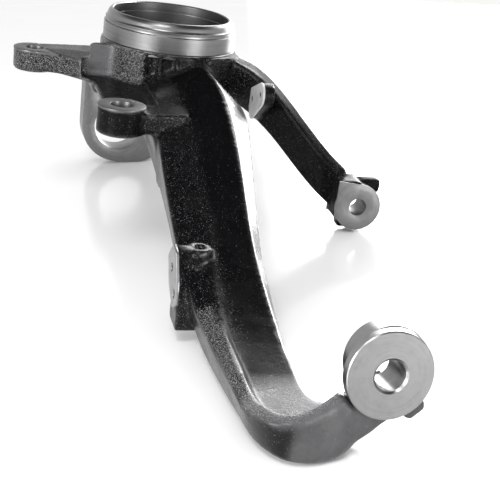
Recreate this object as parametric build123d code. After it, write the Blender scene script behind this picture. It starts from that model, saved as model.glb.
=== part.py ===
from build123d import *
import math
import os

os.makedirs("parts", exist_ok=True)

# Steering knuckle: one iron casting with machined seats.
# Frame: origin on the wheel-bearing axis at the outboard face of the ring, +Z outboard
# along that axis, the high upper arm runs toward -Y. Millimetres.

# ---------------------------------------------------------------- driving sizes
bearing_bore_r = 42.0        # wheel-bearing seat
bearing_seat_depth = 38.0    # outboard face to the retaining lip
lip_r = 36.5                 # opening through the lip
snap_groove_top = 5.0
snap_groove_width = 2.4
snap_groove_depth = 1.6
edge_break = 1.2             # chamfer round the ring's outer edge

ring_r = 48.3                # machined outer band of the ring
ring_height = 20.5
ring_top_step = 1.8          # the band is smaller above its groove
ring_groove_z = 8.0
ring_groove_width = 1.8
ring_groove_depth = 1.3
barrel_r = 50.0              # cast housing below the band
barrel_bottom = 48.0
panel_recess = 3.2           # cored pocket on the front of the housing
cast_edge_r = 1.6            # usual radius on an unmachined edge

ear_top = 32.8               # both caliper ears are faced at this depth
ear_r = 14.8
front_ear = (-51.5, -143.5)
front_ear_hole_r = 7.0
front_ear_thick = 18.0
rear_ear = (-96.5, -1.5)
rear_ear_hole_r = 6.4
rear_ear_thick = 15.5

lower_bore_r = 20.4          # lower ball-joint press bore
lower_wall = 10.6
lower_at = (-17.0, 99.0, -116.4)
lower_lean = (1.0, 3.5)      # degrees: turn about Z, tip up
lower_thick = 26.0
lower_side_step = 14.0       # the plate runs further on its +X side
lower_plate_rise = 46.0

upper_hole_r = 7.0           # upper ball-joint stud hole
upper_r = 19.7
upper_at = (31.6, -401.9, -72.1)
upper_lean = (0.3, 8.6)
upper_thick = 14.0
upper_turned = 7.5           # side turned to full radius this far back
upper_step = 1.1

eye_hole_r = 6.0             # tie-rod hole
eye_r = 16.4
eye_at = (119.7, -124.9, -99.4)
eye_lean = (-2.1, 1.2)
eye_thick = 21.0

lug_at = (-21.0, -258.0, -76.5)      # hose lug standing on the arm
lug_r = 7.3
lug_hole_r = 2.5
lug_hole_depth = 12.0
side_pad_x = -35.0                   # machined pad facing -X beside the lug
side_holes = ((-259.6, -88.0), (-271.1, -98.1))
side_hole_r = 2.5
side_hole_depth = 11.0

sensor_x = 54.0                      # two-hole flange facing -X
sensor_holes = ((-53.6, -46.4), (-73.0, -38.3))
sensor_hole_r = 2.6
sensor_thick = 9.0


# ---------------------------------------------------------------- helpers
def leaning(lean):
    """Direction facing -Y, turned about Z then tipped up."""
    a, b = math.radians(lean[0]), math.radians(lean[1])
    return (math.sin(a) * math.cos(b), -math.cos(a) * math.cos(b), math.sin(b))


def disc(at, axis, r, length):
    """Cylinder whose face centre is `at`, running back against the axis."""
    return extrude(Plane(origin=at, z_dir=axis) * Circle(r), -length)


def facing_minus_x(x):
    """Sketch plane whose local axes are -Y and +Z."""
    return Plane(origin=(x, 0, 0), x_dir=(0, -1, 0), z_dir=(-1, 0, 0))


def rounded(points, radii):
    """Closed wire through the points, each corner rounded by its own radius."""
    n = len(points)
    ends = []
    for i in range(n):
        p, q, s = (Vector(*points[j % n]) for j in (i - 1, i, i + 1))
        a, b = (p - q).normalized(), (s - q).normalized()
        half = math.acos(max(-1.0, min(1.0, a.dot(b)))) / 2
        back = radii[i] / math.tan(half)
        mid = q + (a + b).normalized() * (radii[i] / math.sin(half) - radii[i])
        ends.append((q + a * back, mid, q + b * back))
    edges = []
    for i in range(n):
        edges.append(ThreePointArc(*ends[i]))
        edges.append(Line(ends[i][2], ends[(i + 1) % n][0]))
    return Wire(edges)


def soft_underside(piece, r=cast_edge_r):
    """Cast radius round the lowest face."""
    return fillet(piece.faces().sort_by(Axis.Z)[0].edges(), r)


def plate(points, top, thick, r=3.0):
    """Flat web with rounded corners between top and top - thick."""
    outline = make_face(rounded(points, [r] * len(points)))
    return soft_underside(extrude(Pos(0, 0, top) * outline, -thick))


# ---------------------------------------------------------------- bearing housing
def housing():
    top_r = ring_r - ring_top_step
    low, high = -ring_groove_z - ring_groove_width / 2, -ring_groove_z + ring_groove_width / 2
    floor_r = ring_r - ring_groove_depth
    outline = Polyline(
        (0, -barrel_bottom), (barrel_r - 3, -barrel_bottom), (barrel_r, 3 - barrel_bottom),
        (barrel_r, -ring_height - 1), (barrel_r - 1, -ring_height), (ring_r, -ring_height),
        (ring_r, low), (floor_r, low), (floor_r, high), (top_r + 0.8, high),
        (top_r, -edge_break), (top_r - edge_break, 0), (0, 0), close=True)
    body = revolve(Plane.XZ * make_face(outline), Axis.Z)
    tall = barrel_bottom - ring_height
    for a0, a1 in ((-117, -107), (-104, -93)):
        wedge = Polyline((0, 0), *((70 * math.cos(math.radians(a)), 70 * math.sin(math.radians(a)))
                                   for a in (a0, (a0 + a1) / 2, a1)), close=True)
        ring = Circle(barrel_r + 5) - Circle(barrel_r - panel_recess)
        body -= extrude(Pos(0, 0, -ring_height - 2) * (ring & make_face(wedge)), 4 - tall)
    return body


def housing_bore():
    groove_r = bearing_bore_r + snap_groove_depth
    groove_low = -snap_groove_top - snap_groove_width
    outline = Polyline(
        (0, 1), (bearing_bore_r, 1),
        (bearing_bore_r, -snap_groove_top), (groove_r, -snap_groove_top), (groove_r, groove_low),
        (bearing_bore_r, groove_low), (bearing_bore_r, -bearing_seat_depth),
        (lip_r, -bearing_seat_depth), (lip_r, -barrel_bottom - 40), (0, -barrel_bottom - 40),
        close=True)
    return revolve(Plane.XZ * make_face(outline), Axis.Z)


def left_pillar():
    pillar = extrude(Pos(-50.5, -33, -ring_height - 2) * RectangleRounded(19, 36, 8), -30)
    return soft_underside(pillar, 5)


def right_pad():
    points = [(12, -38), (21, -49), (40, -38), (49, -24), (49, 4), (28, 4)]
    return plate(points, -ring_height - 0.6, 27.0, 2.5)


# ---------------------------------------------------------------- upper arm
# One row per station: inner top edge (x, y), outer top edge (x, y), height of the
# inner edge, rim width, rim rise, outer fall, depth, outer lean, inner flank.
arm_stations = [
    (20, -38, -34, -38, -23, 36, 0.8, 23, 31, 2, 17),
    (19.8, -85, -33, -85, -28.5, 33, 0.8, 14, 31, -1, 19),
    (18.9, -130, -29, -130, -35.5, 24, 0.8, 6, 30, -3, 17),
    (16.5, -170, -30.2, -170, -48, 25, 0.8, 7, 29, 1, 13),
    (13.7, -210, -30.8, -210, -64, 22, 0.8, 7, 27, 3.5, 10.5),
    (11.4, -246, -30.6, -246, -78, 19, 0.9, 6, 25.5, 4, 9),
    (11.0, -276, -30, -276, -88, 15, 1.4, 5.2, 24.2, 4.8, 7.5),
    (10.6, -302, -28.8, -302, -94.2, 11.5, 2.4, 4.2, 22.6, 5.4, 6),
    (9.6, -325, -27.6, -326, -97.4, 8.5, 3.4, 3.2, 20.2, 5.8, 4.6),
    (8.5, -343, -26.8, -350, -98.6, 7.8, 4.2, 2.7, 17.8, 6.4, 3.4),
    (7.8, -356, -26.4, -373, -98.8, 7.5, 4.8, 2.5, 16.2, 8, 2.8),
    (7.8, -366, -23.6, -393, -98.6, 7.5, 5.8, 2.5, 15, 8, 2.6),
    (9.4, -373, -11.8, -405.3, -98.4, 7.2, 7.6, 2.2, 14.6, 3.4, 2.5),
    (12.6, -377.5, 1, -404, -98, 6.8, 10.6, 2, 14.2, -4.4, 2.5),
    (17, -380, 12, -400.5, -96.6, 6.4, 14.5, 2, 14.4, -7.4, 2.5),
    (25, -381, 23, -396, -93, 6, 17.5, 2, 13.6, -5, 2.5),
    (37, -381, 37, -394, -87, 5.6, 14, 2, 12, -3, 2.5),
]


def arm_section(xi, yi, xo, yo, z, rim, rise, fall, depth, lean, flank):
    width = math.hypot(xi - xo, yi - yo)
    across = ((xi - xo) / width, (yi - yo) / width, 0)
    plane = Plane(origin=(xi, yi, z), x_dir=across, z_dir=(across[1], -across[0], 0))
    ridge = rim - width
    points = [(0, 0), (ridge + 2 + rise * 0.6, -0.4), (ridge, rise), (-width, rise - fall),
              (-width + lean, -depth), (-1, -depth), (flank, -0.5 * depth)]
    return plane * make_face(rounded(points, (1.2, 2.5, 1.2, 2.2, 3.6, 4, 3)))


def upper_arm():
    return loft([arm_section(*row) for row in arm_stations])


def upper_boss():
    axis = leaning(upper_lean)
    boss = disc(upper_at, axis, upper_r, upper_turned)
    boss += disc(upper_at, axis, upper_r - upper_step, upper_thick)
    low_lug = Pos(upper_at[0] + 14, upper_at[1] + upper_thick - 2.5, upper_at[2] - 14)
    top_lug = Pos(upper_at[0] - 2, upper_at[1] + upper_thick - 2.5, upper_at[2] + 17)
    boss += low_lug * Rot(90, 0, 0) * extrude(RectangleRounded(11, 10, 2), 7)
    boss += top_lug * Rot(90, 0, 0) * extrude(RectangleRounded(8, 6, 2), 4)
    return boss


# ---------------------------------------------------------------- mid-arm bracket
def mid_bracket():
    axis = (0, 0, 1)
    lug = disc(lug_at, axis, lug_r, 26)
    pad_points = [(247, -86), (257, -75.5), (266, -77), (275, -90), (279, -101), (270, -107),
                  (256, -99)]
    pad = facing_minus_x(side_pad_x) * make_face(rounded(pad_points, [2.5] * 7))
    foot_points = [(256, -96), (268, -96), (277, -101), (277, -118), (258, -118)]
    foot = facing_minus_x(side_pad_x + 1.5) * make_face(rounded(foot_points, [2.5] * 5))
    web = Polyline((-34, -250), (-34, -262), (-22, -266), (-22, -252), close=True)
    web_top = extrude(Pos(0, 0, lug_at[2] - 2) * make_face(web), -24)
    return lug + extrude(pad, -8) + extrude(foot, -16) + web_top


# ---------------------------------------------------------------- steering arm
# Station rows: centre (x, y, z), heading in plan, thickness, height.
link_stations = [(40, -20, -38, 30, 20, 28), (60, -44, -44, 36, 15, 30),
                 (84, -75, -67, 37, 13, 30), (110, -109, -91.5, 37, 13, 27)]


def steering_arm():
    faces = []
    for x, y, z, turn, thick, tall in link_stations:
        t = math.radians(turn)
        plane = Plane(origin=(x, y, z), x_dir=(math.cos(t), math.sin(t), 0),
                      z_dir=(math.sin(t), -math.cos(t), 0))
        faces.append(plane * RectangleRounded(thick, tall, 2.5))
    return loft(faces)


def sensor_flange():
    spots = [Pos(-y, z) * Circle(8.5) for y, z in sensor_holes]
    foot = Pos(56, -55) * Circle(5)
    outline = make_hull((spots[0] + spots[1] + foot).edges())
    return extrude(facing_minus_x(sensor_x) * outline, -sensor_thick)


def steering_eye():
    axis = leaning(eye_lean)
    plane = Plane(origin=eye_at, x_dir=(1, 0, 0), z_dir=axis)
    side = Pos(-eye_r / 2 + 0.4, 4.2) * Rectangle(eye_r - 0.8, 27)
    eye = extrude(plane * (Circle(eye_r) + side), -eye_thick)
    lug = Pos(eye_at[0] + 10, eye_at[1] + eye_thick - 3, eye_at[2] + 13)
    eye += lug * Rot(90, 0, 0) * extrude(RectangleRounded(16, 9, 2), 9)
    foot = Pos(eye_at[0] - 3, eye_at[1] + eye_thick - 3, eye_at[2] - 14.5)
    eye += foot * Rot(90, 0, 0) * extrude(RectangleRounded(13, 8, 2), 9)
    return eye


# ---------------------------------------------------------------- lower ball joint
def lower_boss():
    plane = Plane(origin=lower_at, x_dir=(1, 0, 0), z_dir=leaning(lower_lean))
    r = lower_bore_r + lower_wall
    low = make_hull((Circle(r) + Pos(lower_side_step, 0) * Circle(r)).edges())
    sides = Pos(lower_side_step / 2, lower_plate_rise / 2) * Rectangle(2 * r + lower_side_step,
                                                                     lower_plate_rise)
    boss = extrude(plane * (low + sides), -lower_thick)
    return fillet(boss.faces().sort_by(Axis.Y)[-1].edges(), 3)


def lower_neck():
    rows = [(-6, 38, -35.5, 0, 60, 25), (-7, 78, -46, 28, 60, 25), (-8.5, 106, -66, 62, 62, 25),
            (-9, 113, -92, 84, 66, 22)]
    faces = []
    for x, y, z, tip, wide, thick in rows:
        t = math.radians(tip)
        plane = Plane(origin=(x, y, z), x_dir=(1, 0, 0), z_dir=(0, math.cos(t), -math.sin(t)))
        faces.append(plane * RectangleRounded(wide, thick, 5))
    return loft(faces)


# ---------------------------------------------------------------- caliper ears
def caliper_ears():
    up = (0, 0, 1)
    front = soft_underside(disc((*front_ear, -ear_top), up, ear_r, front_ear_thick))
    rear = soft_underside(disc((*rear_ear, -ear_top), up, ear_r, rear_ear_thick))
    bar = [(-97, 13.3), (-38, 26), (-38, -44), (-60, -40), (-80, -20.5), (-98, -16)]
    rear += plate(bar, -ear_top, rear_ear_thick - 1.5, 3.0)
    link = [(-60, -148), (-57, -92), (-58, -36), (-30, -34), (-26, -90), (-26, -140)]
    front += plate(link, -ear_top - 3, 12.5, 2.5)
    web = [(-53, -157), (-38, -153.5), (-11, -149), (-4, -118), (-32, -118), (-50, -132)]
    front += plate(web, -ear_top - 3, 13.0, 2.5)
    gusset = loft([Pos(-22, -136, -44) * RectangleRounded(24, 27, 3),
                   Pos(-21, -146, -62) * RectangleRounded(17, 24, 3),
                   Pos(-22, -155, -80) * RectangleRounded(10, 16, 3)])
    return front + rear + gusset


# ---------------------------------------------------------------- the casting
steering_knuckle = housing() + left_pillar() + right_pad() + upper_arm() + upper_boss()
steering_knuckle += mid_bracket() + steering_arm() + sensor_flange() + steering_eye()
steering_knuckle += lower_boss() + lower_neck() + caliper_ears()

past = 40.0
steering_knuckle -= housing_bore()
steering_knuckle -= disc((*front_ear, 1 - ear_top), (0, 0, 1), front_ear_hole_r, past)
steering_knuckle -= disc((*rear_ear, 1 - ear_top), (0, 0, 1), rear_ear_hole_r, past)
for at, lean, r in ((upper_at, upper_lean, upper_hole_r), (eye_at, eye_lean, eye_hole_r),
                    (lower_at, lower_lean, lower_bore_r)):
    steering_knuckle -= disc(at, leaning(lean), r, past)
steering_knuckle -= disc(lug_at, (0, 0, 1), lug_hole_r, lug_hole_depth)
for y, z in side_holes:
    steering_knuckle -= disc((side_pad_x, y, z), (-1, 0, 0), side_hole_r, side_hole_depth)
for y, z in sensor_holes:
    steering_knuckle -= disc((sensor_x, y, z), (-1, 0, 0), sensor_hole_r, sensor_thick)

export_step(steering_knuckle, "parts/steering_knuckle.step")
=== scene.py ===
import math

import bpy
import numpy as np
from bpy.props import FloatProperty, FloatVectorProperty, IntProperty, PointerProperty
from mathutils import Matrix, Vector
from mathutils.bvhtree import BVHTree


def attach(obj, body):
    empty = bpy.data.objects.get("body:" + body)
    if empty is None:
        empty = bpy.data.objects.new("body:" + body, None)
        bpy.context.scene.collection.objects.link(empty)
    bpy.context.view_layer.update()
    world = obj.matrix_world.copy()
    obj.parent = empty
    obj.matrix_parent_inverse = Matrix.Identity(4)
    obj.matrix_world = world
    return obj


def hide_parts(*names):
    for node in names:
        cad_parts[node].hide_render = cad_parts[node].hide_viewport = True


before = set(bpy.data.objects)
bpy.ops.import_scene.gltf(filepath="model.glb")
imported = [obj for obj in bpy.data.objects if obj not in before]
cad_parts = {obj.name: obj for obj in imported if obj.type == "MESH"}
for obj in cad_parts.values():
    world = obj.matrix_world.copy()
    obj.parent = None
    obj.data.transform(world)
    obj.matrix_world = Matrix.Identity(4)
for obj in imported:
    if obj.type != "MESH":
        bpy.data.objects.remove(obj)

bl_info = {
    "name": "Steering knuckle",
    "version": (1, 0, 0),
    "blender": (4, 5, 0),
    "location": "3D View > Sidebar > Knuckle",
    "description": "Dresses the packed steering knuckle: coated cast skin, machined faces, studio",
    "category": "Object",
}

MM = 0.001
TO_MM = 1000
NODE = "steering_knuckle"
UP = (0, 0, 1)
MINUS_X = (-1, 0, 0)

# axes and centres of the machined places, in millimetres in the part's own frame
HOUSING_AT = (0, 0, 0)
FRONT_EAR = (-51.5, -143.5, -32.8)
REAR_EAR = (-96.5, -1.5, -32.8)
LOWER_AT, LOWER_AXIS = (-17.2265, 111.9737, -117.1936), (0.0174199, -0.9979828, 0.0610485)
EYE_AT, EYE_AXIS = (120.0847, -114.4093, -99.6199), (-0.0366359, -0.9991094, 0.0209424)
BOSS_AT, BOSS_AXIS = (31.6, -401.9, -72.1), (0.0051771, -0.9887426, 0.1495354)
PAD_AT = (-35, -265, -93)
SENSOR_AT = (54, -63, -42)
LUG_AT = (-21, -258)

# sizes of those places, in millimetres
BARREL_R = 50
EAR_FACE_R, EAR_HOLE_R, EAR_DEEP = 15.2, 7.3, 25
LOWER_HALF, LOWER_FACE_R, LOWER_BORE_R = 13, 75, 20.8
EYE_HALF, EYE_FACE_R, EYE_HOLE_R = 10.5, 17.5, 6.4
BOSS_R, BOSS_HOLE_R = 19.9, 7.3

# how a face of the solid is told to belong to a place
SQUARE = 0.98        # cosine above which it looks along an axis
BESIDE = 0.2         # cosine below which it stands alongside an axis
ON_PLANE = 0.15      # millimetres that it may lie off its plane

PLACES = range(8)
CAST, RING, EARS, LOWER, EYE, BOSS, PAD, SENSOR = PLACES


# ---------------------------------------------------------------- what a user may change
class KNUCKLE_PG_sizes(bpy.types.PropertyGroup):
    voxel: FloatProperty(
        name="Skin cell", description="Cell size that the cast skin is remeshed to",
        default=0.0015, min=0.0012, max=0.004, unit="LENGTH", subtype="DISTANCE", precision=5)
    soften: IntProperty(
        name="Softening", description="Passes that round the casting's edges and fillets",
        default=3, min=0, max=30)
    skin_gap: FloatProperty(
        name="Skin gap", description="How far the cast skin lies inside the machined size",
        default=0.00012, min=0.0, max=0.0005, unit="LENGTH", subtype="DISTANCE", precision=5)
    face_depth: FloatProperty(
        name="Face depth", description="How far the cast skin drops away under a machined face",
        default=0.0009, min=0.0003, max=0.002, unit="LENGTH", subtype="DISTANCE", precision=5)
    face_thick: FloatProperty(
        name="Face thickness", description="Thickness of a machined face's shell",
        default=0.0016, min=0.0005, max=0.004, unit="LENGTH", subtype="DISTANCE", precision=5)
    ring_steps: IntProperty(
        name="Ring steps", description="Sides of the turned bearing ring", default=192, min=48, max=512)


class KNUCKLE_PG_finish(bpy.types.PropertyGroup):
    coat: FloatVectorProperty(
        name="Coating", description="Colour of the black coating on the casting",
        default=(0.0028, 0.0028, 0.0031), min=0.0, max=1.0, subtype="COLOR")
    # thin coating on grain tops and dust, and on convex edges partly thin coating and partly a painted
    # edge highlight
    coat_thin_and_edge_sheen: FloatVectorProperty(
        name="Thin coating", description="Colour where the coating is thin, on edges and grain tops",
        default=(0.024, 0.024, 0.025), min=0.0, max=1.0, subtype="COLOR")
    # painted highlight and painted reflection: this lighter colour stands in for light falling on the
    # coating, wherever the highlight attribute is set
    coat_highlight: FloatVectorProperty(
        name="Highlighted coating", description="Colour where the coating is rubbed almost through",
        default=(0.105, 0.105, 0.108), min=0.0, max=1.0, subtype="COLOR")
    # painted highlights: the colour of bright specks that stand in for light caught by the grain
    glint: FloatVectorProperty(
        name="Glints", description="Colour of the bright specks on the coated grain",
        default=(0.32, 0.32, 0.32), min=0.0, max=1.0, subtype="COLOR")
    steel: FloatVectorProperty(
        name="Machined face", description="Colour of the bare machined faces",
        default=(0.42, 0.42, 0.42), min=0.0, max=1.0, subtype="COLOR")
    steel_dark: FloatVectorProperty(
        name="Machined marks", description="Colour of the tool marks and stains on machined faces",
        default=(0.27, 0.27, 0.275), min=0.0, max=1.0, subtype="COLOR")
    floor: FloatVectorProperty(
        name="Floor", description="Colour of the studio floor",
        default=(0.92, 0.92, 0.92), min=0.0, max=1.0, subtype="COLOR")


# ---------------------------------------------------------------- small helpers
def clear_selection():
    if bpy.context.object is not None and bpy.context.object.mode != "OBJECT":
        bpy.ops.object.mode_set(mode="OBJECT")
    bpy.ops.object.select_all(action="DESELECT")


def take(obj):
    clear_selection()
    obj.hide_viewport = False
    obj.select_set(True)
    bpy.context.view_layer.objects.active = obj
    return obj


def apply_modifier(obj, kind, **settings):
    take(obj)
    mod = obj.modifiers.new(kind.title(), kind)
    for key, value in settings.items():
        setattr(mod, key, value)
    bpy.ops.object.modifier_apply(modifier=mod.name)


def added(operator, **settings):
    """Runs one of Blender's add operators and gives back the object that it makes."""
    clear_selection()
    operator(**settings)
    return bpy.context.object


def standing(at, axis):
    """The placing that stands an object's own Z on an axis, at a point in metres."""
    return Matrix.Translation(Vector(at)) @ Vector(axis).to_track_quat("Z", "Y").to_matrix().to_4x4()


def looking(at, toward):
    """The turn that points an object's own -Z from one point to another."""
    return (Vector(toward) - Vector(at)).to_track_quat("-Z", "Y")


def read(items, name):
    """A vector for each vertex or face of a mesh."""
    values = np.empty(len(items) * 3, np.float32)
    items.foreach_get(name, values)
    return values.reshape(-1, 3).astype(float)


def face_data(mesh):
    """The centres of a mesh's faces, in millimetres, and their normals."""
    return read(mesh.polygons, "center") * TO_MM, read(mesh.polygons, "normal")


def write_points(mesh, points):
    mesh.vertices.foreach_set("co", points.astype(np.float32).ravel())
    mesh.update()


def spread(values, pairs, rounds):
    """Averages a value per vertex with its neighbours, a few times."""
    a, b = pairs[:, 0], pairs[:, 1]
    count = np.bincount(a, minlength=len(values)) + np.bincount(b, minlength=len(values)) + 1
    for _ in range(rounds):
        total = values + np.bincount(a, values[b], len(values))
        total += np.bincount(b, values[a], len(values))
        values = total / count
    return values


def edge_pairs(mesh):
    pairs = np.empty(len(mesh.edges) * 2, np.int32)
    mesh.edges.foreach_get("vertices", pairs)
    return pairs.reshape(-1, 2)


def between(values, low, high):
    return (values > low) & (values < high)


def bend(points, normals, pairs):
    """How sharply the mesh turns outwards at each vertex."""
    a, b = pairs[:, 0], pairs[:, 1]
    away = points[b] - points[a]
    away /= np.maximum(np.linalg.norm(away, axis=1), 1e-9)[:, None]
    leaving = np.bincount(a, (away * normals[a]).sum(1), len(points))
    arriving = np.bincount(b, (away * normals[b]).sum(1), len(points))
    return -(leaving - arriving) / 4


def painted(base, rows):
    """Lays values over a base, row by row. A row is a mask and a value, or a value per point."""
    for zone, value in rows:
        base = np.where(zone, value, base)
    return base


def place_kinds(centre, normal):
    """Which machined place each face belongs to, by where it lies and how it faces. Millimetres."""
    x, y, z = centre.T
    kind = np.full(len(centre), CAST)
    r = np.hypot(x, y)
    flat_up = normal[:, 2] > SQUARE
    upright = np.abs(normal[:, 2]) < BESIDE
    # the ring down to the shoulder that it stands on, then its bore down to the lip's foot
    kind[(z > -20.7) & (r < 50.2) & ((r < 48.6) | flat_up)] = RING
    kind[(z > -48.4) & (r < 44.2) & ((z > -47.6) | upright)] = RING
    for ear_x, ear_y, ear_z in (FRONT_EAR, REAR_EAR):
        near = np.hypot(x - ear_x, y - ear_y)
        kind[(np.abs(z - ear_z) < ON_PLANE) & flat_up & (near < EAR_FACE_R)] = EARS
        kind[(near < EAR_HOLE_R) & upright & (z > ear_z - EAR_DEEP)] = EARS

    def along(at, axis):
        """Height along an axis, distance from it, and the cosine that a face makes with it."""
        rel = centre - np.array(at)
        t = rel @ np.array(axis)
        return t, np.linalg.norm(rel - np.outer(t, axis), axis=1), normal @ np.array(axis)

    t, near, facing = along(LOWER_AT, LOWER_AXIS)
    bore = np.abs(facing) < BESIDE
    kind[(np.abs(t - LOWER_HALF) < ON_PLANE) & (facing > SQUARE) & (near < LOWER_FACE_R)] = LOWER
    kind[(np.abs(t) < LOWER_HALF + ON_PLANE) & (near < LOWER_BORE_R) & bore] = LOWER
    t, near, facing = along(EYE_AT, EYE_AXIS)
    bore, end = np.abs(facing) < BESIDE, np.abs(facing) > SQUARE
    kind[(np.abs(np.abs(t) - EYE_HALF) < ON_PLANE) & end & (near < EYE_FACE_R)] = EYE
    kind[(np.abs(t) < EYE_HALF + ON_PLANE) & (near < EYE_HOLE_R) & bore] = EYE
    t, near, facing = along(BOSS_AT, BOSS_AXIS)
    kind[(t > -14.1) & (near < BOSS_R)] = BOSS
    kind[(t > -26) & (near < BOSS_HOLE_R) & (np.abs(facing) < BESIDE)] = BOSS
    left = normal[:, 0] < -SQUARE
    kind[(np.abs(x - PAD_AT[0]) < ON_PLANE) & left & between(y, -300, -225)] = PAD
    kind[(np.abs(x - SENSOR_AT[0]) < ON_PLANE) & left & between(y, -95, -40) & (z > -65)] = SENSOR
    return kind


def frame_copy(name):
    """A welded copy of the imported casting, free of the frame, to be worked on."""
    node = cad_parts[NODE]
    obj = node.copy()
    obj.data = node.data.copy()
    obj.name = obj.data.name = name
    for key in list(obj.keys()):
        del obj[key]
    obj.parent = None
    obj.matrix_world = Matrix.Identity(4)
    obj.hide_render = False
    bpy.context.scene.collection.objects.link(obj)
    take(obj)
    bpy.ops.object.mode_set(mode="EDIT")
    bpy.ops.mesh.select_all(action="SELECT")
    bpy.ops.mesh.remove_doubles(threshold=2e-6)
    if obj.data.has_custom_normals:
        bpy.ops.mesh.customdata_custom_splitnormals_clear()
    bpy.ops.object.mode_set(mode="OBJECT")
    return obj


def set_attribute(mesh, name, values):
    layer = mesh.attributes.new(name, "FLOAT", "POINT")
    layer.data.foreach_set("value", np.clip(values, 0, 1).astype(np.float32))


def finish_piece(obj, material):
    obj.data.materials.clear()
    obj.data.materials.append(material)
    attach(obj, "root")
    return obj


def cylinder(radius, low, high, sides):
    """A cylinder on the Z axis between two heights, in millimetres."""
    made = added(bpy.ops.mesh.primitive_cylinder_add, vertices=sides, radius=radius * MM,
                 depth=(high - low) * MM, location=(0, 0, (high + low) / 2 * MM))
    bpy.ops.object.transform_apply(location=True)
    return made


def cut_away(obj, cutter):
    """Takes a cutter's volume off an object, and removes the cutter."""
    apply_modifier(obj, "BOOLEAN", operation="DIFFERENCE", solver="EXACT", object=cutter)
    bpy.data.objects.remove(cutter)


def turned(name, profile, at, axis, steps):
    """A closed ring: a circle drawn out from point to point of a closed (radius, height) outline."""
    r0, h0 = profile[0]
    obj = added(bpy.ops.mesh.primitive_circle_add, vertices=steps, radius=r0 * MM,
                fill_type="NOTHING", location=(0, 0, 0))
    obj.name = obj.data.name = name
    bpy.ops.object.mode_set(mode="EDIT")
    bpy.ops.mesh.select_all(action="SELECT")
    bpy.ops.transform.translate(value=(0, 0, h0 * MM))
    for r, h in (*profile[1:], profile[0]):
        bpy.ops.mesh.extrude_edges_move(TRANSFORM_OT_translate={"value": (0, 0, (h - h0) * MM)})
        bpy.ops.transform.resize(value=(r / r0, r / r0, 1), center_override=(0, 0, h * MM))
        r0, h0 = r, h
    bpy.ops.mesh.select_all(action="SELECT")
    bpy.ops.mesh.remove_doubles(threshold=4e-6)
    bpy.ops.mesh.normals_make_consistent(inside=False)
    bpy.ops.object.mode_set(mode="OBJECT")
    obj.matrix_world = standing(Vector(at) * MM, axis)
    bpy.ops.object.transform_apply(location=True, rotation=True, scale=True)
    bpy.ops.object.shade_smooth_by_angle(angle=math.radians(28))
    return obj


# ---------------------------------------------------------------- shader building
DUST_COLOUR = (0.16, 0.155, 0.15, 1)
WHITE = (1, 1, 1, 1)


class Wiring:
    """Adds nodes to one tree and joins them."""

    def __init__(self, tree):
        self.tree = tree

    def node(self, kind, settings=(), **inputs):
        made = self.tree.nodes.new(kind)
        for key, value in dict(settings).items():
            setattr(made, key, value)
        for key, value in inputs.items():
            self.put(made, key, value)
        return made

    def put(self, made, key, value):
        """Sets an input or joins a socket to it. The key is its name, or i and its number."""
        by_number = key[0] == "i" and key[1:].isdigit()
        socket = made.inputs[int(key[1:]) if by_number else key.replace("_", " ")]
        if isinstance(value, bpy.types.NodeSocket):
            self.tree.links.new(value, socket)
        else:
            socket.default_value = value

    def math(self, op, a, b=0.0, clamp=False):
        return self.node("ShaderNodeMath", {"operation": op, "use_clamp": clamp}, i0=a, i1=b).outputs[0]

    def object_place(self):
        return self.node("ShaderNodeTexCoord").outputs["Object"]

    def attribute(self, name):
        return self.node("ShaderNodeAttribute", {"attribute_name": name}).outputs["Fac"]

    def noise(self, vector, scale, detail=2.0, rough=0.5):
        return self.node("ShaderNodeTexNoise", Vector=vector, Scale=scale,
                         Detail=detail, Roughness=rough).outputs["Fac"]

    def span(self, value, a, b, lo=0.0, hi=1.0):
        """Maps a to b onto lo to hi, and holds it there beyond."""
        made = self.node("ShaderNodeMapRange", {"clamp": True}, Value=value)
        for key, number in (("From Min", a), ("From Max", b), ("To Min", lo), ("To Max", hi)):
            made.inputs[key].default_value = number
        return made.outputs["Result"]

    def blend(self, fac, a, b):
        made = self.node("ShaderNodeMix", {"data_type": "RGBA"})
        self.put(made, "i0", fac)
        self.put(made, "i6", a)
        self.put(made, "i7", b)
        return made.outputs[2]

    def group(self, group, **inputs):
        made = self.node("ShaderNodeGroup", {"node_tree": group})
        for key, value in inputs.items():
            self.put(made, key, value)
        return made

    def bump(self, height, strength, distance):
        made = self.node("ShaderNodeBump", Height=height)
        made.inputs["Strength"].default_value = strength
        made.inputs["Distance"].default_value = distance
        return made.outputs[0]

    def show(self, shader, kind="ShaderNodeOutputMaterial"):
        self.node(kind, Surface=shader.outputs[0])


def new_group(name, inputs, outputs):
    """A node group: gives its wiring, and the nodes that bring its inputs in and take its outputs."""
    group = bpy.data.node_groups.new(name, "ShaderNodeTree")
    for label, kind, default in inputs:
        sock = group.interface.new_socket(name=label, in_out="INPUT", socket_type=kind)
        if default is not None:
            sock.default_value = default
    for label in outputs:
        group.interface.new_socket(name=label, in_out="OUTPUT", socket_type="NodeSocketFloat")
    w = Wiring(group)
    return w, w.node("NodeGroupInput"), w.node("NodeGroupOutput")


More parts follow.
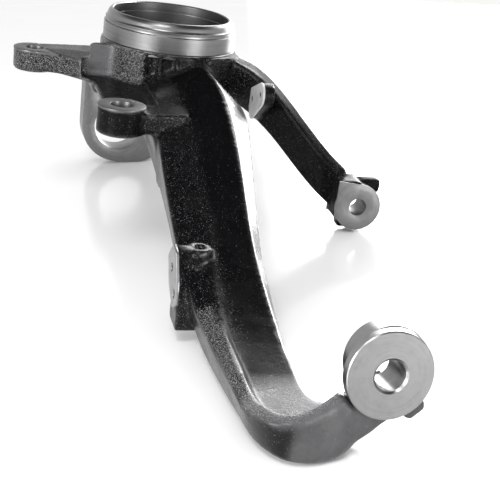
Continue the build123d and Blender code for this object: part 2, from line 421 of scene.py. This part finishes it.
def group_cast_grain():
    """Sand-cast grain under paint: a bump height, the grain's tops, and a mask of bright specks that
    paint in the light caught by the grain.
    """
    w, given, made = new_group("cast_grain", [
        ("Vector", "NodeSocketVector", None), ("Grain size", "NodeSocketFloat", 1.0),
        ("Coarseness", "NodeSocketFloat", 1.0)], ("Height", "Tops", "Glints"))
    coarseness = given.outputs["Coarseness"]
    v = w.node("ShaderNodeVectorMath", {"operation": "SCALE"}, i0=given.outputs["Vector"])
    w.put(v, "Scale", w.math("DIVIDE", 1.0, given.outputs["Grain size"]))
    v = v.outputs[0]
    grain = w.noise(v, 1050.0, 2.0, 0.6)
    fine = w.noise(v, 2900.0, 1.0, 0.5)
    lumps = w.noise(v, 260.0, 2.0, 0.5)
    pits = w.span(w.noise(v, 620.0, 0.0, 0.5), 0.60, 0.72)
    rough = w.math("ADD", w.math("MULTIPLY", grain, 0.75), w.math("MULTIPLY", fine, 0.30))
    rough = w.math("SUBTRACT", rough, w.math("MULTIPLY", pits, 0.22))
    rough = w.math("MULTIPLY", rough, coarseness)
    w.put(made, "Height", w.math("ADD", rough, w.math("MULTIPLY", lumps, 0.35)))
    w.put(made, "Tops", w.span(grain, 0.52, 0.70))
    # painted highlights: specks above a noise threshold, denser where the grain is coarser
    least = w.math("SUBTRACT", 0.745, w.math("MULTIPLY", coarseness, 0.2))
    above = w.math("SUBTRACT", w.noise(v, 2050.0, 1.0, 0.6), least)
    w.put(made, "Glints", w.math("DIVIDE", above, 0.08, True))
    return w.tree


def group_tool_marks():
    """Concentric tool marks about the Z axis of the vector, with blotches: height and shade."""
    w, given, made = new_group("tool_marks", [
        ("Vector", "NodeSocketVector", None), ("Pitch", "NodeSocketFloat", 0.0006),
        ("Blotches", "NodeSocketFloat", 0.5)], ("Height", "Shade"))
    vector, pitch = given.outputs["Vector"], given.outputs["Pitch"]
    x, y, z = w.node("ShaderNodeSeparateXYZ", i0=vector).outputs
    radius = w.math("SQRT", w.math("ADD", w.math("MULTIPLY", x, x), w.math("MULTIPLY", y, y)))
    turn = w.math("ARCTAN2", y, x)
    across = w.math("DIVIDE", radius, pitch)
    down = w.math("DIVIDE", z, pitch)
    round_it = w.math("MULTIPLY", turn, 0.7)
    lines = w.node("ShaderNodeCombineXYZ", i0=across, i1=down, i2=round_it).outputs[0]
    fine = w.noise(lines, 0.9, 2.0, 0.65)
    broad = w.noise(lines, 0.16, 1.0, 0.5)
    blot = w.noise(vector, 160.0, 4.0, 0.65)
    specks = w.noise(vector, 1400.0, 1.0, 0.5)
    w.put(made, "Height", w.math("ADD", fine, w.math("MULTIPLY", specks, 0.35)))
    shade = w.math("ADD", w.math("MULTIPLY", fine, 0.45), w.math("MULTIPLY", broad, 0.35))
    stains = w.math("MULTIPLY", w.math("MULTIPLY", blot, given.outputs["Blotches"]), 0.8)
    w.put(made, "Shade", w.span(w.math("ADD", shade, stains), 0.35, 0.85))
    return w.tree


def group_dust():
    """Thin dust and handling marks: a mask with soft patches and small specks."""
    w, given, made = new_group("dust", [
        ("Vector", "NodeSocketVector", None), ("Amount", "NodeSocketFloat", 0.5)], ("Mask",))
    patches = w.span(w.noise(given.outputs["Vector"], 34.0, 5.0, 0.6), 0.50, 0.72)
    specks = w.span(w.noise(given.outputs["Vector"], 900.0, 0.0, 0.5), 0.74, 0.80)
    mask = w.math("ADD", w.math("MULTIPLY", patches, 0.35), w.math("MULTIPLY", specks, 0.9))
    w.put(made, "Mask", w.math("MULTIPLY", mask, given.outputs["Amount"], True))
    return w.tree


def shared_group(name, maker):
    return bpy.data.node_groups.get(name) or maker()


def colour(rgb):
    return (*rgb, 1.0)


def new_material(name):
    mat = bpy.data.materials.new(name)
    mat.use_nodes = True
    mat.node_tree.nodes.clear()
    return mat, Wiring(mat.node_tree)


def coated_casting(finish):
    """Black coating over cast grain, thin on grain tops, lighter on edges as thin coating and painted
    highlight, with a painted highlight colour and painted bright specks, led by the skin's own
    attributes.
    """
    mat, w = new_material("coated_casting")
    where = w.object_place()
    coarse, edge, gloss, painted_highlight = (w.attribute(n) for n in ("coarse", "edge", "gloss", "painted_highlight"))
    grain = w.group(shared_group("cast_grain", group_cast_grain), Vector=where, Coarseness=coarse)
    dust = w.group(shared_group("dust", group_dust), Vector=where, Amount=0.25).outputs["Mask"]
    tops = w.math("MULTIPLY", grain.outputs["Tops"], w.span(coarse, 0.0, 1.0, 0.05, 0.45))
    # convex edges lighten partly as thin coating and partly as a painted highlight where edges catch
    # light
    thin = w.math("ADD", tops, w.math("MULTIPLY", edge, 0.35), True)
    thin = w.math("ADD", thin, w.math("MULTIPLY", dust, 0.5), True)
    base = w.blend(thin, colour(finish.coat), colour(finish.coat_thin_and_edge_sheen))
    # painted highlight and painted reflection: lighter colour where the skin's highlight attribute is
    # set
    highlight_mask = w.math("MULTIPLY", painted_highlight, w.span(w.noise(where, 300.0, 3.0), 0.3, 0.7, 0.8, 1.0))
    base = w.blend(highlight_mask, base, colour(finish.coat_highlight))
    # painted highlights: bright specks standing in for light caught by the grain
    base = w.blend(w.math("MULTIPLY", grain.outputs["Glints"], 0.8), base, colour(finish.glint))
    rough = w.math("ADD", w.span(w.noise(where, 55.0, 3.0), 0.3, 0.7, 0.20, 0.34),
                   w.math("MULTIPLY", dust, 0.25))
    bump = w.bump(grain.outputs["Height"], 0.75, 0.00028)
    shader = w.node("ShaderNodeBsdfPrincipled", Base_Color=base, Roughness=rough, Normal=bump)
    # what an export that can't follow the link below falls back on
    shader.inputs["Specular IOR Level"].default_value = 0.17
    w.put(shader, "Specular IOR Level", w.span(gloss, 0.0, 1.0, 0.0, 0.34))
    w.show(shader)
    return mat


def machined(name, finish, at, axis, pitch, blotches, rough, painted_light_level):
    """Bare metal with tool marks about the piece's own axis, set by a Mapping node."""
    mat, w = new_material(name)
    where = w.object_place()
    place = w.node("ShaderNodeMapping", {"vector_type": "TEXTURE"}, Vector=where)
    place.inputs["Location"].default_value = Vector(at) * MM
    place.inputs["Rotation"].default_value = Vector(axis).to_track_quat("Z", "Y").to_euler()
    marks = w.group(shared_group("tool_marks", group_tool_marks), Vector=place.outputs[0],
                    Pitch=pitch, Blotches=blotches)
    dust = w.group(shared_group("dust", group_dust), Vector=where, Amount=0.4).outputs["Mask"]
    # each piece's level makes its metal lighter or darker: painted light and shade for how much light
    # that face catches
    light = tuple(c * painted_light_level for c in finish.steel)
    dark = tuple(c * painted_light_level for c in finish.steel_dark)
    base = w.blend(marks.outputs["Shade"], colour(dark), colour(light))
    base = w.blend(w.math("MULTIPLY", dust, 0.4), base, DUST_COLOUR)
    roughness = w.math("ADD", w.span(marks.outputs["Shade"], 0.0, 1.0, rough + 0.08, rough - 0.05),
                       w.math("MULTIPLY", dust, 0.2))
    bump = w.bump(marks.outputs["Height"], 0.35, 0.00006)
    shader = w.node("ShaderNodeBsdfPrincipled", Base_Color=base, Roughness=roughness, Normal=bump)
    shader.inputs["Metallic"].default_value = 1.0
    w.show(shader)
    return mat


# ---------------------------------------------------------------- the pieces
LEAST_LENGTH = 0.5           # metres: a shorter casting has lost most of itself to a cutter
BEHIND_BOSS = (-5.0, 0.0, 6.0)   # millimetres from the boss's centre to the room made behind it
CORE_ASIDE = (2.6, 0.0, 1.9)     # and to the axis of its turned core

# the shelf and the pillar's front that stand too high in the solid: two corners of a box
SHELF_LOW, SHELF_HIGH = (-66, -127, -44.3), (-27, -24, -21.4)

# cast swellings that carry the upper boss: centre, size, turn in degrees about Y, rounding
SWELLINGS = (
    ((21.0, -395.2, -96.8), (34, 15, 15), 38.5, 3.5),
    ((44.2, -394.5, -87.6), (15, 11, 11), -45, 2.5),
)

# outlines of the turned pieces: radius and height, in millimetres
RING_OUTLINE = (
    # foot, outer wall and the shallow groove round it
    (48.9, -24), (48.9, -21.1), (48.6, -20.8), (48.0, -20.7), (48.3, -20.3), (48.3, -9.3),
    (48.0, -8.9), (47.0, -8.8), (46.9, -8.2), (46.95, -7.2), (47.3, -6.9), (47.35, -5.9),
    # shoulder, top, mouth of the bore and the snap groove in it
    (46.7, -5.3), (46.3, -4.4), (45.9, -3.0), (45.2, -1.5), (44.1, -0.45), (43.9, -0.15), (43.5, 0),
    (42.6, 0), (42.0, -0.6), (42.0, -5.1), (43.4, -5.1), (43.4, -7.3), (42.0, -7.3),
    # bearing seat, lip and back
    (42.0, -38), (36.9, -38), (36.5, -38.4), (36.5, -47.7), (38.5, -47.7), (45.2, -40), (45.2, -24),
)
FLANGE_OUTLINE = (
    (19.2, -5.2), (19.7, -4.8), (19.7, -0.5), (19.2, 0), (8.0, 0), (7.0, -1.0), (7.0, -5.2))
CORE_OUTLINE = (
    (17.6, -18.6), (17.6, -8.6), (17.2, -8.3), (17.2, -4.9), (9.4, -4.9), (9.4, -18.6))
SLEEVE_OUTLINE = ((8.4, -19.2), (8.4, -4.5), (7.0, -4.5), (7.0, -19.2))

# milled pieces: name, place, centre, axis, then pitch, blotches, roughness, and a brightness factor for
# the metal that paints the light and shade on that face
MILLED = (
    ("caliper_faces", EARS, FRONT_EAR, UP, 0.0009, 0.7, 0.42, 0.35),
    ("lower_joint_face", LOWER, LOWER_AT, LOWER_AXIS, 0.0012, 0.9, 0.42, 0.5),
    ("tie_rod_face", EYE, EYE_AT, EYE_AXIS, 0.0010, 0.9, 0.52, 0.52),
    ("side_pad_face", PAD, PAD_AT, MINUS_X, 0.0012, 0.5, 0.40, 0.95),
    ("sensor_face", SENSOR, SENSOR_AT, MINUS_X, 0.0012, 0.5, 0.78, 2.0),
)


class KNUCKLE_OT_cast_skin(bpy.types.Operator):
    """Make the coated cast body, with the casting's soft edges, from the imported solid"""
    bl_idname = "knuckle.cast_skin"
    bl_label = "Cast skin"

    def execute(self, context):
        sizes, finish = context.scene.knuckle_sizes, context.scene.knuckle_finish
        skin = frame_copy("cast_body")
        source = skin.data.copy()
        centre, normal = face_data(source)
        kinds = place_kinds(centre, normal)
        if len(set(kinds)) < len(PLACES):
            raise RuntimeError(f"a machined place wasn't found: {sorted(set(kinds))}")
        tree = BVHTree.FromPolygons([v.co for v in source.vertices],
                                    [tuple(p.vertices) for p in source.polygons])
        self.make_room(skin)
        self.build_up(skin)
        if max(skin.dimensions) < LEAST_LENGTH:
            raise RuntimeError("the casting was lost while room was being made on it")
        apply_modifier(skin, "REMESH", mode="VOXEL", voxel_size=sizes.voxel, adaptivity=0.0)
        if sizes.soften:
            apply_modifier(skin, "SMOOTH", factor=0.5, iterations=sizes.soften)
        points, normals = read(skin.data.vertices, "co"), read(skin.data.vertices, "normal")
        nearest = np.array([tree.find_nearest(Vector(p))[2] for p in points])
        worked = kinds[nearest] != CAST
        pairs = edge_pairs(skin.data)
        toward = np.where(worked[:, None], normal[nearest], normals)
        drop = np.where(worked, sizes.face_depth, sizes.skin_gap)
        move = toward * drop[:, None]
        move = np.stack([spread(move[:, k], pairs, 1) for k in range(3)], 1)
        write_points(skin.data, points - move)
        self.mark(skin.data, points, normals, pairs)
        take(skin)
        bpy.ops.object.shade_smooth()
        finish_piece(skin, coated_casting(finish))
        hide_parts(NODE)
        bpy.data.meshes.remove(source)
        return {"FINISHED"}

    def make_room(self, skin):
        """Takes off the ring and the boss's flange, which are their own pieces, and the high shelf."""
        behind = Vector(BOSS_AT) + Vector(BEHIND_BOSS)
        # centre, axis, radius, lowest and highest point. No two cutters share a plane, because
        # the boolean would then drop most of the casting
        for at, axis, radius, low, high in (
                (HOUSING_AT, UP, 48.7, -21.3, 4),
                (BOSS_AT, BOSS_AXIS, BOSS_R, -6.0, 4),
                (behind, BOSS_AXIS, 21.0, -17.2, -4.6)):
            cutter = cylinder(radius, low, high, 96)
            cutter.matrix_world = standing(Vector(at) * MM, axis)
            cut_away(skin, cutter)
        low, high = Vector(SHELF_LOW) * MM, Vector(SHELF_HIGH) * MM
        shelf = added(bpy.ops.mesh.primitive_cube_add, size=1, location=(low + high) / 2,
                      scale=high - low)
        bpy.ops.object.transform_apply(location=True, scale=True)
        cut_away(shelf, cylinder(BARREL_R, -100, 100, 128))
        cut_away(skin, shelf)

    def build_up(self, skin):
        """Adds the cast swellings that carry the upper boss, before the skin is made one."""
        for at, size, turn, rounding in SWELLINGS:
            block = added(bpy.ops.mesh.primitive_cube_add, size=1, location=Vector(at) * MM,
                          scale=[v * MM for v in size], rotation=(0, -math.radians(turn), 0))
            bpy.ops.object.transform_apply(location=True, rotation=True, scale=True)
            apply_modifier(block, "BEVEL", width=rounding * MM, segments=3, limit_method="NONE")
            take(skin)
            block.select_set(True)
            bpy.ops.object.join()

    def mark(self, mesh, points, normals, pairs):
        """Writes the point attributes that the coating reads: one for edges, one for coarseness, one
        for gloss, and one for painted highlight and painted reflection. Coarseness also sets how dense
        the painted bright specks are.
        """
        x, y, z = points.T * TO_MM
        right, back, up = normals.T
        outward = -y
        edge = np.clip(spread(bend(points, normals, pairs), pairs, 1) * 6 - 0.25, 0, 1)

        arm = between(x, -45, 50) & between(y, -425, -56)
        rim = (x < 12) & (y < -296) & (z > -112) & (up > 0.35) & ((x < -19) | (y < -384))
        bed = between(x, -17, 24) & between(y, -384, -338) & (z < -80) & (up > 0.35)
        pillar_front = between(x, -62, -43) & between(y, -30, -19) & (z > -46) & (back < -0.4)
        from_bearing = np.hypot(x, y)
        from_ear = np.hypot(x - FRONT_EAR[0], y - FRONT_EAR[1])
        from_lug = np.hypot(x - LUG_AT[0], y - LUG_AT[1])
        turn = np.degrees(np.arctan2(y, x))
        panel = between(from_bearing, 47, 54) & ((turn < -118) | (turn > 150)) & (z < -20)

        # coarseness of the grain, which also sets how dense the painted highlight specks are
        coarse = painted(np.full(len(points), 0.45), (
            # the upper arm: the top's right and left halves, then the right flank
            (arm & (up > 0.6) & (x >= -8), 0.10),
            (arm & (up > 0.6) & (x < -8), 0.34),
            (arm & (right > 0.35) & (x > 0), 0.02),
            # the housing's front panel, the rear ear's bar, the front ear, the steering arm
            (panel, 1.0),
            ((x < -58) & (y > -50) & (np.abs(up) < 0.7), 0.95),
            (from_ear < 16.5, 0.22),
            ((x > 55) & (y < -30), 0.34),
            # the arm's outer end: its rim, the bed inside it, the bow's front and its left part
            (rim, 1.0),
            # the bed grows coarser outwards, so that denser painted highlight specks stand in for the
            # light falling there
            (bed, np.interp(outward, (338, 352, 372), (0.10, 0.30, 0.6))),
            ((y < -385) & (back < -0.45), 0.05),
            ((y < -340) & (back < -0.3) & (x < -6), 0.25),
        ))
        gloss = painted(np.full(len(points), 0.5), (
            # the upper arm: dull on top, bright on the right flank
            (arm & (up > 0.2) & (y > -356), np.interp(outward, (200, 300), (0.0, 0.06))),
            (arm & (up > 0.2) & (x < -10) & (y < -150), 0.09),
            (arm & (right > 0.45) & (x > 0), 1.0),
            # the front ear, the mid-arm lug, the steering arm and its end
            (from_ear < 17, 0.2),
            ((from_lug < 9.5) & (z > -104), 0.8),
            ((x > 58) & between(y, -140, -30), 0.2),
            ((x > 98) & between(y, -140, -60), 0.05),
            # the rim, the link to the front ear, the bed and the wall beside it
            (rim, np.interp(outward, (305, 350), (0.15, 0.8))),
            (between(y, -160, 0) & (x < -12) & (z > -46) & (up > 0.5), 0.08),
            (bed, np.interp(outward, (352, 377), (0.05, 1.0))),
            (between(x, -32, 0) & (y < -290) & (z > -118) & (right > 0.15), 0.03),
            # the pillar: its left side and its front
            ((x < -40) & (y > -60) & (right < -0.7), 0.85),
            (pillar_front, 0.9),
        ))
        # painted highlight: how much of the lighter highlight colour each point takes
        painted_highlight = painted(np.zeros(len(points)), (
            # painted highlight and painted reflection: the bow's front, the bed's outer end, the rim
            # there, the pillar's front
            ((y < -385) & (back < -0.3) & (x > -8), 0.75),
            (bed, np.interp(outward, (362, 380), (0.0, 1.0))),
            (rim & (y < -380), 1.0),
            (pillar_front, 1.0),
        ))
        painted_highlight = spread(painted_highlight, pairs, 5)
        # painted highlights on the edges of the housing's left side and its ears
        ridge = (x < -31) & (y > -170)
        highlighted = 0.9 * np.clip(edge * 1.8 - 0.45, 0, 1)
        painted_highlight = np.where(ridge, np.maximum(painted_highlight, highlighted), painted_highlight)

        set_attribute(mesh, "edge", edge)
        set_attribute(mesh, "coarse", spread(coarse, pairs, 3))
        set_attribute(mesh, "gloss", spread(gloss, pairs, 2))
        set_attribute(mesh, "painted_highlight", painted_highlight)


class KNUCKLE_OT_bearing_ring(bpy.types.Operator):
    """Turn the bearing ring, its bore, snap groove, seat and lip"""
    bl_idname = "knuckle.bearing_ring"
    bl_label = "Bearing ring"

    def execute(self, context):
        sizes, finish = context.scene.knuckle_sizes, context.scene.knuckle_finish
        ring = turned("bearing_ring", RING_OUTLINE, HOUSING_AT, UP, sizes.ring_steps)
        # the last number is painted light and shade: how bright the ring's metal is made
        finish_piece(ring, machined("turned_ring", finish, HOUSING_AT, UP, 0.0007, 0.25, 0.27, 0.64))
        return {"FINISHED"}


class KNUCKLE_OT_upper_boss(bpy.types.Operator):
    """Turn the upper ball joint's boss, with its step and hole"""
    bl_idname = "knuckle.upper_boss"
    bl_label = "Upper boss"

    def execute(self, context):
        sizes, finish = context.scene.knuckle_sizes, context.scene.knuckle_finish
        steps = sizes.ring_steps // 2
        aside = Vector(BOSS_AT) + Vector(CORE_ASIDE)
        boss = turned("upper_boss_turned", FLANGE_OUTLINE, BOSS_AT, BOSS_AXIS, steps)
        rest = (turned("core", CORE_OUTLINE, aside, BOSS_AXIS, steps),
                turned("sleeve", SLEEVE_OUTLINE, BOSS_AT, BOSS_AXIS, steps))
        take(boss)
        for piece in rest:
            piece.select_set(True)
        bpy.ops.object.join()
        # the last number is painted light and shade: how bright the boss's metal is made
        metal = machined("turned_boss", finish, BOSS_AT, BOSS_AXIS, 0.0011, 0.9, 0.36, 0.7)
        finish_piece(boss, metal)
        return {"FINISHED"}


def face_shell(name, place, thick):
    """A machined face as a thin shell: the solid's own faces there, thickened inwards."""
    obj = frame_copy(name)
    keep = place_kinds(*face_data(obj.data)) == place
    if not keep.any():
        raise RuntimeError(f"{name}: no face was found")
    bpy.ops.object.mode_set(mode="EDIT")
    bpy.ops.mesh.select_mode(type="FACE")
    bpy.ops.object.mode_set(mode="OBJECT")
    obj.data.polygons.foreach_set("select", ~keep)
    bpy.ops.object.mode_set(mode="EDIT")
    bpy.ops.mesh.delete(type="FACE")
    bpy.ops.mesh.select_all(action="SELECT")
    bpy.ops.mesh.dissolve_limited(angle_limit=math.radians(0.5))
    bpy.ops.object.mode_set(mode="OBJECT")
    apply_modifier(obj, "SOLIDIFY", thickness=thick, offset=-1.0, use_even_offset=True)
    apply_modifier(obj, "BEVEL", width=0.3 * MM, segments=2, limit_method="ANGLE",
                   angle_limit=math.radians(50), loop_slide=False)
    take(obj)
    bpy.ops.object.mode_set(mode="EDIT")
    bpy.ops.mesh.select_all(action="SELECT")
    bpy.ops.mesh.quads_convert_to_tris()
    bpy.ops.object.mode_set(mode="OBJECT")
    bpy.ops.object.shade_smooth_by_angle(angle=math.radians(30))
    return obj


class KNUCKLE_OT_machined_faces(bpy.types.Operator):
    """Make the milled and spot-faced places: ears, lower plate, tie rod eye, pads"""
    bl_idname = "knuckle.machined_faces"
    bl_label = "Machined faces"

    def execute(self, context):
        sizes, finish = context.scene.knuckle_sizes, context.scene.knuckle_finish
        for name, place, at, axis, *look in MILLED:
            shell = face_shell(name, place, sizes.face_thick)
            finish_piece(shell, machined("milled_" + name, finish, at, axis, *look))
        return {"FINISHED"}


# ---------------------------------------------------------------- floor, lamps, camera
FLOOR_UP = Vector((-0.117036, 0.067574, 0.990826)).normalized()
FLOOR_GAP = 0.0003           # metres between the casting's lowest point and the floor
FLOOR_DIM = 0.985            # the floor's darker patches, against its colour

# the camera's right, down and ahead, its place in metres and its lens in millimetres
VIEW_ROWS = (
    (0.962629, -0.236686, 0.131626),
    (0.028356, -0.395263, -0.918130),
    (0.269336, 0.887551, -0.373780),
)
VIEW_FROM = Vector((-0.139409, -0.739893, 0.125272))
VIEW_LENS = 72.915

# soft lamps: name, place, where they point, size in metres, watts
LAMPS = (
    ("lamp_front_right", (0.80, -1.15, 0.13), (0, -0.25, -0.06), (0.55, 0.40), 9),
    ("lamp_left", (-1.05, -0.80, 0.22), (0, -0.1, -0.05), (0.40, 0.5), 12),
    ("lamp_top", (-0.5, -0.9, 1.1), (0, -0.2, -0.05), (0.5, 0.5), 8),
)

# glowing cards: name, place, where they point, size, strength in the middle and at the rim
CARDS = (
    ("card_right", (0.95, 1.02, 0.10), (0.03, -0.18, -0.06), (1.35, 0.62), 27.0, 1.0),
    ("card_near", (0.15, 0.08, 0.125), (0.0, -0.37, -0.1), (0.26, 0.10), 26.0, 0.0),
)


def softbox(name, at, toward, size, power):
    lamp = added(bpy.ops.object.light_add, type="AREA", location=at)
    lamp.name = name
    lamp.data.shape = "RECTANGLE"
    lamp.data.size, lamp.data.size_y = size
    lamp.data.energy = power
    lamp.visible_camera = False
    lamp.rotation_euler = looking(at, toward).to_euler()


def reflected_only(obj):
    """Hides a stage piece from the camera, from diffuse light and from shadows."""
    obj.visible_camera = False
    obj.visible_diffuse = False
    obj.visible_shadow = False


def glow_card(name, at, toward, size, strength, rim):
    """A pale card that only shows as a reflection."""
    card = added(bpy.ops.mesh.primitive_grid_add, x_subdivisions=4, y_subdivisions=4, size=1,
                 location=(0, 0, 0))
    card.name = card.data.name = name
    turn = looking(at, toward).to_matrix().to_4x4()
    card.matrix_world = Matrix.Translation(Vector(at)) @ turn @ Matrix.Diagonal((*size, 1, 1))
    mat, w = new_material(name)
    across, along, _ = w.node("ShaderNodeSeparateXYZ", i0=w.object_place()).outputs
    fade = w.math("MAXIMUM", w.math("ABSOLUTE", across), w.math("ABSOLUTE", along))
    glow = w.span(fade, 0.02, 0.5, strength, rim)
    w.show(w.node("ShaderNodeEmission", Color=WHITE, Strength=glow))
    card.data.materials.append(mat)
    reflected_only(card)


class KNUCKLE_OT_stage(bpy.types.Operator):
    """Set out the floor, the soft lamps, the pale surroundings and the camera"""
    bl_idname = "knuckle.stage"
    bl_label = "Studio"

    def execute(self, context):
        scene = context.scene
        self.set_floor(scene.knuckle_finish)
        self.set_surroundings(scene)
        for row in LAMPS:
            softbox(*row)
        for row in CARDS:
            glow_card(*row)
        self.set_ceiling()
        self.set_camera(scene)
        scene.view_settings.view_transform = "Standard"
        return {"FINISHED"}

    def set_floor(self, finish):
        points = read(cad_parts[NODE].data.vertices, "co")
        low = (points @ np.array(FLOOR_UP)).min() - FLOOR_GAP
        floor = added(bpy.ops.mesh.primitive_plane_add, size=40, location=(0, 0, 0))
        floor.name = "studio_floor"
        floor.matrix_world = standing(FLOOR_UP * low, FLOOR_UP)
        mat, w = new_material("floor_gloss")
        where = w.object_place()
        shade = w.span(w.noise(where, 3.0, 2.0), 0.3, 0.7, 0.0, 1.0)
        dimmed = tuple(c * FLOOR_DIM for c in finish.floor)
        base = w.blend(shade, colour(finish.floor), colour(dimmed))
        rough = w.span(w.noise(where, 9.0, 2.0), 0.3, 0.7, 0.10, 0.16)
        w.show(w.node("ShaderNodeBsdfPrincipled", Base_Color=base, Roughness=rough))
        floor.data.materials.append(mat)

    def set_surroundings(self, scene):
        """White where it is seen, straight or in a surface, and a little less as light."""
        world = scene.world or bpy.data.worlds.new("studio")
        scene.world = world
        world.use_nodes = True
        world.node_tree.nodes.clear()
        w = Wiring(world.node_tree)
        rays = w.node("ShaderNodeLightPath").outputs
        seen = w.math("MAXIMUM", rays["Is Glossy Ray"], rays["Is Transmission Ray"])
        seen = w.math("MAXIMUM", rays["Is Camera Ray"], seen)
        back = w.node("ShaderNodeBackground", Color=WHITE, Strength=w.span(seen, 0, 1, 0.87, 1.0))
        w.show(back, "ShaderNodeOutputWorld")

    def set_ceiling(self):
        """A dark round cloth overhead, which only shows as a reflection."""
        ceiling = added(bpy.ops.mesh.primitive_circle_add, vertices=48, radius=2.0,
                        fill_type="NGON", location=(0.0, 0.1, 1.3))
        ceiling.name = "studio_ceiling"
        mat, w = new_material("ceiling_cloth")
        weave = w.noise(w.object_place(), 4.0, 2.0)
        cloth = w.blend(weave, (0.03, 0.03, 0.03, 1), (0.045, 0.045, 0.045, 1))
        w.show(w.node("ShaderNodeEmission", Color=cloth))
        ceiling.data.materials.append(mat)
        reflected_only(ceiling)

    def set_camera(self, scene):
        camera = added(bpy.ops.object.camera_add, location=VIEW_FROM)
        camera.name = "camera_front"
        right, down, ahead = (Vector(row) for row in VIEW_ROWS)
        turn = Matrix((right, -down, -ahead)).transposed().to_4x4()
        camera.matrix_world = Matrix.Translation(VIEW_FROM) @ turn
        camera.data.sensor_width = 36
        camera.data.lens = VIEW_LENS
        camera.data.clip_start = 0.01
        camera.data.clip_end = 50
        scene.camera = camera


class KNUCKLE_PT_panel(bpy.types.Panel):
    """Lists the knuckle's sizes, colours and building steps"""
    bl_idname = "KNUCKLE_PT_panel"
    bl_label = "Steering knuckle"
    bl_space_type = "VIEW_3D"
    bl_region_type = "UI"
    bl_category = "Knuckle"

    def draw(self, context):
        column = self.layout.column()
        for group in (context.scene.knuckle_sizes, context.scene.knuckle_finish):
            for name in group.__annotations__:
                column.prop(group, name)
        for operator in OPERATORS:
            column.operator(operator.bl_idname)


OPERATORS = (KNUCKLE_OT_cast_skin, KNUCKLE_OT_bearing_ring, KNUCKLE_OT_upper_boss,
             KNUCKLE_OT_machined_faces, KNUCKLE_OT_stage)
CLASSES = (KNUCKLE_PG_sizes, KNUCKLE_PG_finish, *OPERATORS, KNUCKLE_PT_panel)


def register():
    for cls in CLASSES:
        bpy.utils.register_class(cls)
    bpy.types.Scene.knuckle_sizes = PointerProperty(type=KNUCKLE_PG_sizes)
    bpy.types.Scene.knuckle_finish = PointerProperty(type=KNUCKLE_PG_finish)


def unregister():
    del bpy.types.Scene.knuckle_finish
    del bpy.types.Scene.knuckle_sizes
    for cls in reversed(CLASSES):
        bpy.utils.unregister_class(cls)


def main():
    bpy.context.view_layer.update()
    register()
    bpy.ops.knuckle.cast_skin()
    bpy.ops.knuckle.bearing_ring()
    bpy.ops.knuckle.upper_boss()
    bpy.ops.knuckle.machined_faces()
    bpy.ops.knuckle.stage()
    clear_selection()


if __name__ == "__main__":
    main()
